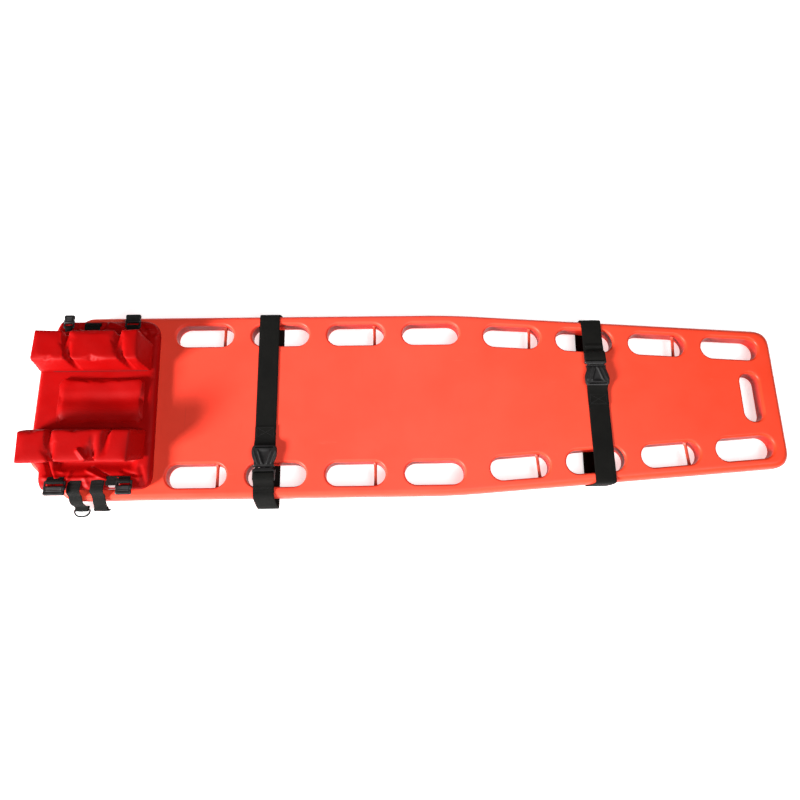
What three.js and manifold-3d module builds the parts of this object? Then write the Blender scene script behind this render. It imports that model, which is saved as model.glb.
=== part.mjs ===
// Spine board with two body straps and a head immobiliser.
// Millimetres, +Z up. The origin is on the underside, in the middle of the board's width and 920 mm
// from its foot end. X runs along the board from the head end (-X) to the foot end (+X).
import * as THREE from "three";
import { mergeVertices } from "three/addons/utils/BufferGeometryUtils.js";
import Module from "manifold-3d";

const wasm = await Module();
wasm.setup();

// ---- driving dimensions ----
const FOOT_END = 1840; // distances along the board are counted from a datum just past the head end
const HEAD_END = 22;
const BOARD_HALF_WIDTH = 230;
const BOARD_TOP = 50;
const PANEL_BOTTOM = 6;
const TAPER_START = 1032;
const TAPER_SLOPE = 0.069; // half-width lost per millimetre of length
const EDGE_ROUND = { size: 10, thickness: 14 };
const WALL = 4;
const WALL_AT_RIM = 9;
const GAP = 0.3;

const SLOT_HALF_LENGTH = 71;
const SLOT_HALF_WIDTH = 28.5;
const SLOT_ROW = 177;
const SLOT_CENTRES = [234, 422, 610, 798, 986, 1190, 1372, 1554, 1736];
const FOOT_SLOT = { x: 1772, halfLength: 62, halfWidth: 23 };
const PINNED_SLOTS = [422, 798, 1190, 1554];
const PIN = { radius: 4, fromSlotCentre: 47, seat: 5 };

const RUNNER = { rows: [-72, 0, 72], halfWidth: 12, spans: [[130, 545], [619, 1354], [1428, 1700]] };
const FILL_PORT = { x: 760, y: 36, radius: 11 };

const WEB = { width: 50, thickness: 2, topZ: 51.6, underZ: 3.2 };
const BODY_STRAPS = [
  { name: "strap_1", x: 583, side: -1, buckleStart: 107, slack: 18, skew: 9 },
  { name: "strap_2", x: 1391, side: 1, buckleStart: 29, slack: 0, skew: -10 },
];
const BUCKLE = { halfWidth: 30.5, socketLength: 54, clipEnd: 86, low: 53.2, high: 65 };

const PAD = {
  low: BOARD_TOP + 0.4,
  high: 75,
  headEnd: 34,
  footEnd: { far: 320, near: 330 },
  footRound: { far: 46, near: 35 },
  halfWidth: 213,
};
const PAD_SLOTS = [
  { start: 222, end: 254, inner: -209, outer: -193 },
  { start: 132, end: 174, inner: 198, outer: 206 },
];
const BLOCK = {
  low: 78.3,
  high: 141,
  footEndTop: 290,
  footEndBase: 311,
  innerBase: 70,
  innerTop: 84,
  outerTop: 162,
  outerBase: 141,
};
const BLOCKS = [
  { label: "far", side: 1, headEnd: 42, grooves: [122, 247] },
  { label: "near", side: -1, headEnd: 37, grooves: [113, 225] },
];
const HOOK_LOOP = { thickness: 1.2, inner: 76, outer: 135, headEnd: 68, footEnd: 304 };
const REST = { headEnd: 90, footEnd: 302, halfWidth: 60, thickness: 12.7 };
const RING = { width: 41, length: 20, wire: 4, webWidth: 31 };
const SEAM = 184; // straps come out from under a welded seam of the pad, this far from the middle
const HEAD_BUCKLE = { length: 34, bar: 4, bodyStart: 11, low: -4.6, high: 5.6, hingeZ: 80.7 };
const HEAD_BUCKLES = [
  { node: ["forehead", "near"], side: -1, x: 110, hingeY: 193, width: 50, tab: [90, 130] },
  { node: ["forehead", "far"], side: 1, x: 97, hingeY: 189, width: 26, tab: [88, 106] },
  { node: ["chin", "near"], side: -1, x: 268, hingeY: 193, width: 38, tab: [224, 283], band: [224, 247] },
  { node: ["chin", "far"], side: 1, x: 253, hingeY: 189, width: 38, tab: [238, 276] },
];

const COLOURS = {
  board: { color: 0xf9563c, roughness: 0.42, metalness: 0 },
  foam: { color: 0xe8dfc4, roughness: 0.9, metalness: 0 },
  pin: { color: 0xd9481f, roughness: 0.4, metalness: 0 },
  webbing: { color: 0x15151a, roughness: 0.85, metalness: 0 },
  buckle: { color: 0x26262a, roughness: 0.45, metalness: 0 },
  skin: { color: 0xcc0808, roughness: 0.35, metalness: 0 },
  hook_loop: { color: 0x1a1a1c, roughness: 0.95, metalness: 0 },
  steel: { color: 0x2a2a2c, roughness: 0.4, metalness: 0.6 },
};

// ---- helpers ----
const fromHead = (x) => x - FOOT_END / 2;
const model = new THREE.Group();

function add(name, geometry, colour) {
  const mesh = new THREE.Mesh(geometry, new THREE.MeshStandardMaterial(COLOURS[colour]));
  mesh.name = name;
  model.add(mesh);
  return mesh;
}

function toSolid(geometry) {
  const bare = geometry.clone();
  bare.deleteAttribute("normal");
  bare.deleteAttribute("uv");
  const merged = mergeVertices(bare, 1e-4);
  return new wasm.Manifold(new wasm.Mesh({
    numProp: 3,
    vertProperties: new Float32Array(merged.attributes.position.array),
    triVerts: new Uint32Array(merged.index.array),
  }));
}

function toGeometry(solid) {
  const mesh = solid.getMesh();
  const geometry = new THREE.BufferGeometry();
  geometry.setAttribute("position", new THREE.BufferAttribute(mesh.vertProperties, 3));
  geometry.setIndex(new THREE.BufferAttribute(mesh.triVerts, 1));
  return geometry;
}

function cut(body, tools) {
  return toGeometry(tools.reduce((solid, tool) => solid.subtract(toSolid(tool)), toSolid(body)));
}

function join(body, others) {
  return toGeometry(others.reduce((solid, other) => solid.add(toSolid(other)), toSolid(body)));
}

// A flat shape drawn in X and Y, raised from one height to another, with rounded rims.
function slab(shape, low, high, round = null, curveSegments = 4) {
  const rim = round ?? { size: 0, thickness: 0 };
  const geometry = new THREE.ExtrudeGeometry(shape, {
    depth: high - low - 2 * rim.thickness,
    bevelEnabled: round !== null,
    bevelSize: rim.size,
    bevelOffset: -rim.size,
    bevelThickness: rim.thickness,
    bevelSegments: 2,
    curveSegments,
  });
  geometry.translate(0, 0, low + rim.thickness);
  return geometry;
}

function box(xLow, xHigh, yLow, yHigh, zLow, zHigh) {
  const geometry = new THREE.BoxGeometry(xHigh - xLow, yHigh - yLow, zHigh - zLow);
  geometry.translate((xLow + xHigh) / 2, (yLow + yHigh) / 2, (zLow + zHigh) / 2);
  return geometry;
}

// A cylinder along Z.
function post(x, y, radius, zLow, zHigh, sides = 16) {
  const geometry = new THREE.CylinderGeometry(radius, radius, zHigh - zLow, sides);
  geometry.rotateX(Math.PI / 2);
  geometry.translate(x, y, (zLow + zHigh) / 2);
  return geometry;
}

// A cylinder along X.
function roller(x, halfLength, y, z, radius, sides = 12) {
  const geometry = new THREE.CylinderGeometry(radius, radius, 2 * halfLength, sides);
  geometry.rotateZ(Math.PI / 2);
  geometry.translate(x, y, z);
  return geometry;
}

// A shape drawn in Y and Z, swept along X.
function sweepX(shape, xLow, xHigh) {
  const depth = xHigh - xLow;
  const geometry = new THREE.ExtrudeGeometry(shape, { depth, bevelEnabled: false, curveSegments: 4 });
  const turn = new THREE.Matrix4().makeBasis(
    new THREE.Vector3(0, 1, 0),
    new THREE.Vector3(0, 0, 1),
    new THREE.Vector3(1, 0, 0),
  );
  geometry.applyMatrix4(turn);
  geometry.translate(xLow, 0, 0);
  return geometry;
}

// Webbing that follows a centre line of [y, z] points, as wide as the given span of X.
function ribbon(points, thickness, xLow, xHigh) {
  const line = points.map(([y, z]) => new THREE.Vector2(y, z));
  const normalOf = (a, b) => new THREE.Vector2(a.y - b.y, b.x - a.x).normalize();
  const offsets = line.map((point, i) => {
    const before = i > 0 ? normalOf(line[i - 1], point) : normalOf(point, line[i + 1]);
    const after = i < line.length - 1 ? normalOf(point, line[i + 1]) : before;
    const mitre = before.clone().add(after).normalize();
    return mitre.multiplyScalar(thickness / 2 / mitre.dot(before));
  });
  const left = line.map((point, i) => point.clone().add(offsets[i]));
  const right = line.map((point, i) => point.clone().sub(offsets[i])).reverse();
  return sweepX(new THREE.Shape([...left, ...right]), xLow, xHigh);
}

const mirrored = (points, side) => points.map(([y, z]) => [side * y, z]);

// A closed outline through corners [x, y, radius], each corner rounded.
function roundedShape(corners) {
  const shape = new THREE.Shape();
  corners.forEach(([x, y, radius], i) => {
    const here = new THREE.Vector2(x, y);
    const previous = corners[(i + corners.length - 1) % corners.length];
    const next = corners[(i + 1) % corners.length];
    const start = new THREE.Vector2(previous[0], previous[1]).sub(here).setLength(radius).add(here);
    const end = new THREE.Vector2(next[0], next[1]).sub(here).setLength(radius).add(here);
    if (i === 0) shape.moveTo(start.x, start.y);
    else shape.lineTo(start.x, start.y);
    shape.quadraticCurveTo(x, y, end.x, end.y);
  });
  shape.closePath();
  return shape;
}

const roundedRectangle = (xLow, xHigh, yLow, yHigh, radius) => roundedShape([
  [xLow, yLow, radius],
  [xHigh, yLow, radius],
  [xHigh, yHigh, radius],
  [xLow, yHigh, radius],
]);

// ---- board ----
const halfWidthAt = (x) => BOARD_HALF_WIDTH - TAPER_SLOPE * Math.max(0, x - TAPER_START);
const slotRowAt = (x) => SLOT_ROW - TAPER_SLOPE * Math.max(0, x - TAPER_START);
const slotTurnAt = (x) => (x > TAPER_START ? Math.atan(TAPER_SLOPE) : 0);

// The board's plan outline, drawn in by an inset.
function boardOutline(inset) {
  const foot = FOOT_END - inset;
  const half = (x) => halfWidthAt(x) - inset;
  const upper = [
    [HEAD_END + inset, 138 - inset / 2, 20],
    [95, 205 - inset, 20],
    [130 + inset / 2, half(0), 12],
    [TAPER_START, half(0), 60],
    [foot, half(FOOT_END), 38],
  ];
  const lower = upper.map(([x, y, radius]) => [x, -y, radius]).reverse();
  return roundedShape([...lower, ...upper].map(([x, y, radius]) => [fromHead(x), y, radius]));
}

// A slot with round ends at [x, y], its long side turned from the X axis.
function slotPath(x, y, halfLength, halfWidth, turn) {
  const straight = halfLength - halfWidth;
  const along = new THREE.Vector2(Math.cos(turn), Math.sin(turn)).multiplyScalar(straight);
  const path = new THREE.Path();
  path.absarc(fromHead(x) + along.x, y + along.y, halfWidth, turn - Math.PI / 2, turn + Math.PI / 2, false);
  path.absarc(fromHead(x) - along.x, y - along.y, halfWidth, turn + Math.PI / 2, turn + Math.PI * 1.5, false);
  path.closePath();
  return path;
}

function boardShape(inset) {
  const shape = boardOutline(inset);
  for (const x of SLOT_CENTRES) {
    for (const side of [-1, 1]) {
      const turn = -side * slotTurnAt(x);
      const y = side * slotRowAt(x);
      shape.holes.push(slotPath(x, y, SLOT_HALF_LENGTH + inset, SLOT_HALF_WIDTH + inset, turn));
    }
  }
  const end = FOOT_SLOT;
  shape.holes.push(slotPath(end.x, 0, end.halfLength + inset, end.halfWidth + inset, Math.PI / 2));
  return shape;
}

// A strap pin, or the seat drilled for it, across a hand slot.
function pinRod(x, side, radius, reach, sides) {
  const turn = -side * slotTurnAt(x);
  const rod = new THREE.CylinderGeometry(radius, radius, 2 * (SLOT_HALF_WIDTH + reach), sides);
  rod.translate(PIN.fromSlotCentre, 0, 0);
  rod.rotateZ(turn);
  rod.translate(fromHead(x), side * slotRowAt(x), (BOARD_TOP + PANEL_BOTTOM) / 2);
  return rod;
}

function makeBoard() {
  const runners = RUNNER.rows.flatMap((y) => RUNNER.spans.map(([start, end]) => slab(
    roundedRectangle(fromHead(start), fromHead(end), y - RUNNER.halfWidth, y + RUNNER.halfWidth, 8),
    0,
    PANEL_BOTTOM + 1,
    null,
    2,
  )));
  const outer = join(slab(boardShape(0), PANEL_BOTTOM, BOARD_TOP, EDGE_ROUND), runners);
  const cavity = slab(boardShape(WALL_AT_RIM), PANEL_BOTTOM + WALL, BOARD_TOP - WALL);
  const atPort = [fromHead(FILL_PORT.x), FILL_PORT.y];
  const port = post(...atPort, FILL_PORT.radius, 0, PANEL_BOTTOM + WALL + 1);
  const seat = (x, side) => pinRod(x, side, PIN.radius + GAP, PIN.seat + GAP, 10);
  const seats = PINNED_SLOTS.flatMap((x) => [seat(x, -1), seat(x, 1)]);
  add("board_shell", cut(outer, [cavity, port, ...seats]), "board");
  const core = slab(boardShape(WALL_AT_RIM + GAP), PANEL_BOTTOM + WALL + GAP, BOARD_TOP - WALL - GAP);
  add("foam_core", core, "foam");
  const plug = post(...atPort, FILL_PORT.radius - GAP, PANEL_BOTTOM + GAP, PANEL_BOTTOM + WALL - GAP);
  add("fill_plug", plug, "board");
  let number = 1;
  for (const x of PINNED_SLOTS) {
    for (const side of [-1, 1]) {
      add(`strap_pin_${number}`, pinRod(x, side, PIN.radius, PIN.seat, 10), "pin");
      number += 1;
    }
  }
}

// ---- body straps ----
// Moves the part of a belt that is below the board's top sideways, growing down the board's edge.
function skewed(belt, skew) {
  const spots = belt.attributes.position;
  for (let i = 0; i < spots.count; i++) {
    const depth = (BOARD_TOP - 1 - spots.getZ(i)) / 30;
    spots.setX(i, spots.getX(i) + skew * Math.min(Math.max(depth, 0), 1));
  }
  return belt;
}

function makeBodyStrap({ name, x, side, buckleStart, slack, skew }) {
  const centre = fromHead(x);
  const half = halfWidthAt(x + Math.min(skew, 0));
  const left = centre - WEB.width / 2;
  const right = centre + WEB.width / 2;

  // One belt: from under the socket, round the plain edge, below the board and back up to the clip.
  const belt = [
    [buckleStart + 18, WEB.topZ],
    [-(half - 7), WEB.topZ],
    [-(half - 0.5), 48],
    [-(half + 3), 38],
    [-(half + 3), 15],
    [-(half - 1), 6],
    [-(half - 10), WEB.underZ],
    [half - 16, WEB.underZ],
    [half + slack - 3, WEB.underZ - 0.4],
    [half + slack + 3, 9],
    [half + slack * 0.9 + 3, 18],
    [half + slack * 0.3 + 3, 38],
    [half - 1, 49],
    [half - 9, WEB.topZ],
    [buckleStart + 60, WEB.topZ],
  ];
  const webbing = ribbon(mirrored(belt, side), WEB.thickness, left, right);
  add(`${name}_webbing`, skewed(webbing, skew), "webbing");

  const along = (t) => side * (buckleStart + t);
  const span = (a, b) => [Math.min(along(a), along(b)), Math.max(along(a), along(b))];

  const acrossBelt = [centre - BUCKLE.halfWidth, centre + BUCKLE.halfWidth];
  const body = roundedRectangle(...acrossBelt, ...span(0, BUCKLE.socketLength), 6);
  const pocket = box(centre - 22, centre + 22, ...span(8, BUCKLE.socketLength + 5), 56, 62);
  const windows = box(centre - 40, centre + 40, ...span(20, 42), 56, 62);
  add(`${name}_socket`, cut(slab(body, BUCKLE.low, BUCKLE.high), [pocket, windows]), "buckle");

  const plateSpan = span(BUCKLE.socketLength + 0.6, BUCKLE.clipEnd);
  const plate = roundedRectangle(centre - 27, centre + 27, ...plateSpan, 4);
  const prongs = [-17, 0, 17].map((offset) => {
    const halfProng = offset === 0 ? 2.5 : 3.5;
    const tip = offset === 0 ? 30 : 14;
    return box(centre + offset - halfProng, centre + offset + halfProng, ...span(tip, 58), 56.6, 61.4);
  });
  const ladder = [64, 75].map((t) => box(centre - 22, centre + 22, ...span(t, t + 6), 50, 70));
  add(`${name}_clip`, cut(join(slab(plate, 55, 62.6), prongs), ladder), "buckle");

  const tail = [[70, 64.4], [88.5, 64.4], [93.5, 56.2], [110, 55.4]].map(([t, z]) => [along(t), z]);
  add(`${name}_tail`, ribbon(tail, WEB.thickness, left, right), "webbing");
}

// ---- head immobiliser ----
// Half of the base pad's outline, from its head end to its foot end.
function padHalf(side, footEnd, footRound) {
  return [
    [PAD.headEnd, side * 136, 6],
    [60, side * 164, 8],
    [62, side * 190, 8],
    [72, side * PAD.halfWidth, 8],
    [footEnd, side * PAD.halfWidth, footRound],
  ];
}

function makeHeadPads() {
  const nearHalf = padHalf(-1, PAD.footEnd.near, PAD.footRound.near);
  const farHalf = padHalf(1, PAD.footEnd.far, PAD.footRound.far).reverse();
  const outline = roundedShape([...nearHalf, ...farHalf].map(([x, y, radius]) => [fromHead(x), y, radius]));
  const slots = PAD_SLOTS.map(({ start, end, inner, outer }) => (
    box(fromHead(start), fromHead(end), inner, outer, PAD.low - 5, PAD.high + 5)
  ));
  add("head_base_pad", cut(slab(outline, PAD.low, PAD.high, { size: 5, thickness: 6 }, 2), slots), "skin");

  const { headEnd, footEnd, halfWidth } = REST;
  const rest = roundedRectangle(fromHead(headEnd), fromHead(footEnd), -halfWidth, halfWidth, 18);
  const restLow = PAD.high + GAP;
  add("head_rest_pad", slab(rest, restLow, restLow + REST.thickness, { size: 6, thickness: 5 }, 3), "skin");
}

function makeHeadBlock({ label, side, headEnd, grooves }) {
  const facing = [side * HOOK_LOOP.inner, side * HOOK_LOOP.outer].sort((a, b) => a - b);
  const outline = roundedRectangle(fromHead(HOOK_LOOP.headEnd), fromHead(HOOK_LOOP.footEnd), ...facing, 6);
  const stripLow = PAD.high + GAP;
  const patchLow = stripLow + HOOK_LOOP.thickness + GAP;
  add(`loop_strip_${label}`, slab(outline, stripLow, stripLow + HOOK_LOOP.thickness, null, 2), "hook_loop");
  add(`hook_patch_${label}`, slab(outline, patchLow, patchLow + HOOK_LOOP.thickness, null, 2), "hook_loop");

  const profile = roundedShape([
    [side * BLOCK.innerBase, BLOCK.low, 4],
    [side * BLOCK.outerBase, BLOCK.low, 4],
    [side * BLOCK.outerTop, BLOCK.high, 8],
    [side * BLOCK.innerTop, BLOCK.high, 8],
  ]);
  const body = sweepX(profile, fromHead(headEnd), fromHead(BLOCK.footEndBase));
  const slope = Math.atan2(BLOCK.footEndBase - BLOCK.footEndTop, BLOCK.high - BLOCK.low);
  const endCut = box(0, 80, -250, 250, -50, 150);
  endCut.rotateY(-slope);
  endCut.translate(fromHead(BLOCK.footEndBase), 0, BLOCK.low);
  const channels = grooves.map((x) => (
    box(fromHead(x - 8), fromHead(x + 8), -250, 250, BLOCK.high - 7, BLOCK.high + 10)
  ));
  add(`head_block_${label}`, cut(body, [endCut, ...channels]), "skin");
}

// The eye that a strap end is sewn into, with its bore for a bar along X.
function withEye(strap, x, halfLength, y, z) {
  return cut(join(strap, [roller(x, halfLength, y, z, 4.6)]), [roller(x, halfLength + 1, y, z, 3.3)]);
}

// A flat frame of square bar whose first bar lies on the X axis and which reaches away along +Y.
function barFrame(width, length, bar) {
  const outline = roundedRectangle(-width / 2, width / 2, -bar / 2, length - bar / 2, 2);
  outline.holes.push(roundedRectangle(-width / 2 + bar, width / 2 - bar, bar / 2, length - bar * 1.5, 1.5));
  return slab(outline, -bar / 2, bar / 2, null, 2);
}

// A strap socket: the bar in the strap's eye, side arms, and a box with an open mouth at the far end.
function strapSocket(width) {
  const { length, bar, bodyStart, low, high } = HEAD_BUCKLE;
  const end = length - bar / 2;
  const arms = barFrame(width, bodyStart + bar * 1.5, bar);
  const body = slab(roundedRectangle(-width / 2, width / 2, bodyStart, end, 3), low, high, null, 2);
  const mouth = box(-width / 2 + 4, width / 2 - 4, bodyStart + 4, end + 5, -2.7, 2.7);
  return cut(join(arms, [body]), [mouth]);
}

function makeHeadBuckle({ node, side, x, hingeY, width, tab, band }) {
  const [name, label] = node;
  const centre = fromHead(x);
  const { hingeZ, bar } = HEAD_BUCKLE;
  const flatZ = PAD.high + 1.6;
  const eyeHalf = width / 2 - bar - 1;
  const strip = (points, low, high) => ribbon(mirrored(points, side), WEB.thickness, low, high);
  const pieces = [strip([[hingeY - 3, flatZ], [hingeY, hingeZ - 3]], centre - eyeHalf, centre + eyeHalf)];
  if (band) pieces.push(strip([[SEAM, flatZ], [SEAM + 18, flatZ]], fromHead(band[0]), fromHead(band[1])));
  const base = strip([[SEAM, flatZ], [hingeY, flatZ]], fromHead(tab[0]), fromHead(tab[1]));
  const sewn = withEye(join(base, pieces), centre, eyeHalf, side * hingeY, hingeZ);
  add(`${name}_tab_${label}`, sewn, "webbing");
  const socket = add(`${name}_buckle_${label}`, strapSocket(width), "buckle");
  socket.rotation.z = side > 0 ? 0 : Math.PI;
  socket.position.set(centre, side * hingeY, hingeZ);
}

// Straps that tie the head pad to the board: over the pad's edge, then down past the rail. They lean
// a little towards the head end.
const OVER_EDGE = [[SEAM, 76.6], [210, 76.8], [217, 74], [220, 67], [223, 58], [233, 49]];
const DROPS = [
  [[239, 34], [239.5, 18], [241, 9], [244.5, 4.4]],
  [[242, 37], [247.5, 29.5]],
];
const STRAP_ENDS = [
  { number: 1, x: 148, lean: 0.12, bar: [247, 5.2], drop: DROPS[0], hang: 0 },
  { number: 2, x: 202, lean: 0.08, bar: [250, 26], drop: DROPS[1], hang: Math.PI / 2 },
];

function makeBoardStrap({ number, x, lean, bar, drop, hang }) {
  const centre = fromHead(x);
  const half = RING.webWidth / 2;
  const straight = ribbon(mirrored([...OVER_EDGE, ...drop], -1), WEB.thickness, centre - half, centre + half);
  const strap = withEye(straight, centre, half, -bar[0], bar[1]);
  strap.translate(0, bar[0], 0);
  strap.applyMatrix4(new THREE.Matrix4().makeShear(0, 0, lean, 0, 0, 0));
  strap.translate(0, -bar[0], 0);
  add(`board_strap_${number}`, strap, "webbing");
  const ring = add(`board_ring_${number}`, barFrame(RING.width, RING.length, RING.wire), "steel");
  ring.rotation.set(hang, 0, Math.PI, "XYZ");
  ring.position.set(centre, -bar[0], bar[1]);
}

// The far tie goes down through a slot in the pad, where it is sewn in.
function makeFarBoardStrap() {
  const path = [[SEAM, 76.6], [198.5, 76.6], [202, 74.5], [202.8, 70], [202.8, 55]];
  add("board_strap_1_far", ribbon(path, WEB.thickness, fromHead(134), fromHead(172)), "webbing");
}

makeBoard();
BODY_STRAPS.forEach(makeBodyStrap);
makeHeadPads();
BLOCKS.forEach(makeHeadBlock);
HEAD_BUCKLES.forEach(makeHeadBuckle);
STRAP_ENDS.forEach(makeBoardStrap);
makeFarBoardStrap();

export default model;
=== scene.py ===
# Looks for the spine board: board, belts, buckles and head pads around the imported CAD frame.
# Lengths are given in millimetres from the same datum as the CAD (just past the head end, middle of
# the width, underside), and mm() turns them into metres in the frame.
import math

import bmesh
import bpy
import numpy as np
from mathutils import Matrix, Vector, noise
from mathutils.geometry import tessellate_polygon


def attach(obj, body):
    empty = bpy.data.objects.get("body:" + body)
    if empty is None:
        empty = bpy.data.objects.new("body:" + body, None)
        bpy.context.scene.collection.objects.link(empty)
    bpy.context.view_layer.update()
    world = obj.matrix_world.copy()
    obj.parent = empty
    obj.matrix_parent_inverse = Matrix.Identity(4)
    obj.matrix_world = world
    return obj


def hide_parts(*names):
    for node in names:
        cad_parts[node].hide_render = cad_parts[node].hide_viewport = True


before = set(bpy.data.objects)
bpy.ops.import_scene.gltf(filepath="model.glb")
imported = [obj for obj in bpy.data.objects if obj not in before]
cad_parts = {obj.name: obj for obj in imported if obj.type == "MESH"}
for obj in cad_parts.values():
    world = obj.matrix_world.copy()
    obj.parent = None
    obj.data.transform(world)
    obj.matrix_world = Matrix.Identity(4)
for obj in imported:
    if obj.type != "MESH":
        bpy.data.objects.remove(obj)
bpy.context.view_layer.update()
scene = bpy.context.scene

# ---- driving dimensions, as in the CAD ----
FOOT_END = 1840
HEAD_END = 22
HALF_WIDTH = 230
BOARD_TOP = 50
PANEL_BOTTOM = 6
TAPER_START = 1032
TAPER_SLOPE = 0.069
SLOT_HALF_LENGTH = 71
SLOT_HALF_WIDTH = 28.5
SLOT_ROW = 177
SLOT_CENTRES = (234, 422, 610, 798, 986, 1190, 1372, 1554, 1736)
FOOT_SLOT = {"x": 1772, "half_length": 62, "half_width": 23}
PIN_SLOTS = (422, 798, 1190, 1554)
PIN_OFFSET = 47
RUNNER_ROWS = (-72, 0, 72)
RUNNER_SPANS = ((130, 545), (619, 1354), (1428, 1700))
WEB_WIDTH = 50
WEB_THICKNESS = 1.8
WEB_RIPPLE = 0.25
TOP_Z = 51.6
UNDER_Z = 3.2
BODY_STRAPS = (
    {"number": 1, "x": 583, "side": -1, "start": 107, "slack": 18, "skew": {"near": 6, "far": 6}},
    {"number": 2, "x": 1391, "side": 1, "start": 29, "slack": 0, "skew": {"near": -15, "far": -3}},
)
SEAM = {-1: 190, 1: 184}
HEAD_BUCKLES = [dict(zip(("name", "label", "side", "x", "hinge", "width", "tab"), row)) for row in (
    ("forehead", "near", -1, 110, 193, 50, (90, 130)),
    ("forehead", "far", 1, 97, 189, 26, (88, 106)),
    ("chin", "near", -1, 268, 193, 38, (224, 283)),
    ("chin", "far", 1, 253, 189, 38, (238, 276)),
)]
HINGE_Z = 80.7
# Undersides and tops of the body buckles' parts, and the heights of the rows of stitches.
SOCKET_Z = (53.2, 65)
CLIP_Z = (55, 62.6)
PRONG_Z = (56.7, 61.3)
STITCH_Z = {"box": 54.6, "hem": 55.7, "band": 77.8, "tie": 78.2, "far tie": 78.1}
PAD = {"head": 35, "foot_far": 319, "foot_near": 329, "half_width": 212, "z": (51.2, 74)}
PAD_SLOTS = ((222, 254, -209, -193.5), (132, 174, 197.5, 206))
REST_PAD = {"x": (91, 301), "y": (-59, 59), "z": (76, 86)}
BLOCK = {"z": (79.2, 139.6), "base": (71, 141), "top": (85, 161), "foot_end": 310, "foot_slope": 21}
# Voxel size and the most a point may move in the cloth step (both in metres), lowest height, firmness.
PAD_RECIPES = {
    "base": {"voxel": 0.0038, "cap": 0.0025, "floor": 50.4, "fill": 0.75},
    "rest": {"voxel": 0.003, "cap": 0.003, "floor": 75.4, "fill": 0.7},
    "block": {"voxel": 0.003, "cap": 0.0018, "floor": 78.3, "fill": 0.85},
}
# Studio, in metres and watts. The floor lies a little below the board, so that the two never meet.
CAMERA = {"at": (-0.0452, -0.5064, 1.7174), "elevation": 73, "turn": -3.53, "roll": 2.66, "lens": 32.2}
LIGHTS = (
    {"name": "key", "location": (-7.2, -4.6, 3.5), "size": (2.4, 2.0), "power": 2430, "aim": (-0.2, 0, 0)},
    {"name": "fill", "location": (2.2, -1.5, 5.0), "size": (3.4, 2.8), "power": 235, "aim": (0.1, 0.2, 0)},
)
WORLD_STRENGTH = 0.05
FLOOR = {"reach": 30, "z": -0.0006, "glow": 0.62}
BACKDROP_GLOW = 0.64


def mm(x, y, z):
    return Vector(((x - FOOT_END / 2) / 1000, y / 1000, z / 1000))


def half_width_at(x):
    return HALF_WIDTH - TAPER_SLOPE * max(0, x - TAPER_START)


def slot_row_at(x):
    return SLOT_ROW - TAPER_SLOPE * max(0, x - TAPER_START)


def slot_turn_at(x):
    return math.atan(TAPER_SLOPE) if x > TAPER_START else 0.0


def span(side, a, b):
    """The two distances from the board's middle, on one side of it, as (low, high) in Y."""
    return sorted((side * a, side * b))


# ---- camera, floor and light ----
def make_camera():
    """Looks down on the board from beside its middle, with a small turn and roll."""
    elevation, turn, roll = (math.radians(CAMERA[k]) for k in ("elevation", "turn", "roll"))
    turned = Matrix.Rotation(turn, 3, "Z")
    right = turned @ Vector((1, 0, 0))
    up = turned @ Vector((0, math.sin(elevation), math.cos(elevation)))
    rolled_right = math.cos(roll) * right + math.sin(roll) * up
    rolled_up = -math.sin(roll) * right + math.cos(roll) * up
    back = rolled_right.cross(rolled_up)
    camera = bpy.data.objects.new("camera", bpy.data.cameras.new("camera"))
    camera.data.sensor_width = 36
    camera.data.lens = CAMERA["lens"]
    camera.data.clip_end = 50
    facing = Matrix((rolled_right, rolled_up, back)).transposed().to_4x4()
    camera.matrix_world = Matrix.Translation(CAMERA["at"]) @ facing
    scene.collection.objects.link(camera)
    scene.camera = camera


def make_light(name, location, size, power, aim):
    light = bpy.data.objects.new(name, bpy.data.lights.new(name, "AREA"))
    light.data.shape = "RECTANGLE"
    light.data.size, light.data.size_y = size
    light.data.energy = power
    light.location = location
    light.rotation_mode = "QUATERNION"
    light.rotation_quaternion = (Vector(aim) - Vector(location)).to_track_quat("-Z", "Y")
    scene.collection.objects.link(light)


def make_stage():
    scene.view_settings.view_transform = "Standard"
    world = bpy.data.worlds.new("studio")
    world.use_nodes = True
    background = world.node_tree.nodes["Background"].inputs
    background["Color"].default_value = (1, 1, 1, 1)
    background["Strength"].default_value = WORLD_STRENGTH
    scene.world = world
    for light in LIGHTS:
        make_light(**light)
    floor = bpy.data.meshes.new("floor")
    reach = FLOOR["reach"]
    corners = [(-reach, -reach, 0), (reach, -reach, 0), (reach, reach, 0), (-reach, reach, 0)]
    floor.from_pydata(corners, [], [(0, 1, 2, 3)])
    plane = bpy.data.objects.new("floor", floor)
    plane.location.z = FLOOR["z"]
    scene.collection.objects.link(plane)
    paper = Shader("floor", (0.72, 0.72, 0.72), 0.85)
    paper.set(Emission_Color=(1, 1, 1, 1), Emission_Strength=FLOOR["glow"])
    floor.materials.append(paper.material)
    make_backdrop(reach * 1.2)


def make_backdrop(radius):
    """A pale dome behind everything: it is seen, but it lights and shades nothing."""
    work = bmesh.new()
    bmesh.ops.create_uvsphere(work, u_segments=48, v_segments=24, radius=radius)
    mesh = bpy.data.meshes.new("backdrop")
    work.to_mesh(mesh)
    work.free()
    dome = bpy.data.objects.new("backdrop", mesh)
    scene.collection.objects.link(dome)
    dome.visible_diffuse = dome.visible_glossy = dome.visible_transmission = dome.visible_shadow = False
    paper = Shader("backdrop", (0, 0, 0), 1.0)
    paper.set(Emission_Color=(1, 1, 1, 1), Emission_Strength=BACKDROP_GLOW)
    mesh.materials.append(paper.material)


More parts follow.
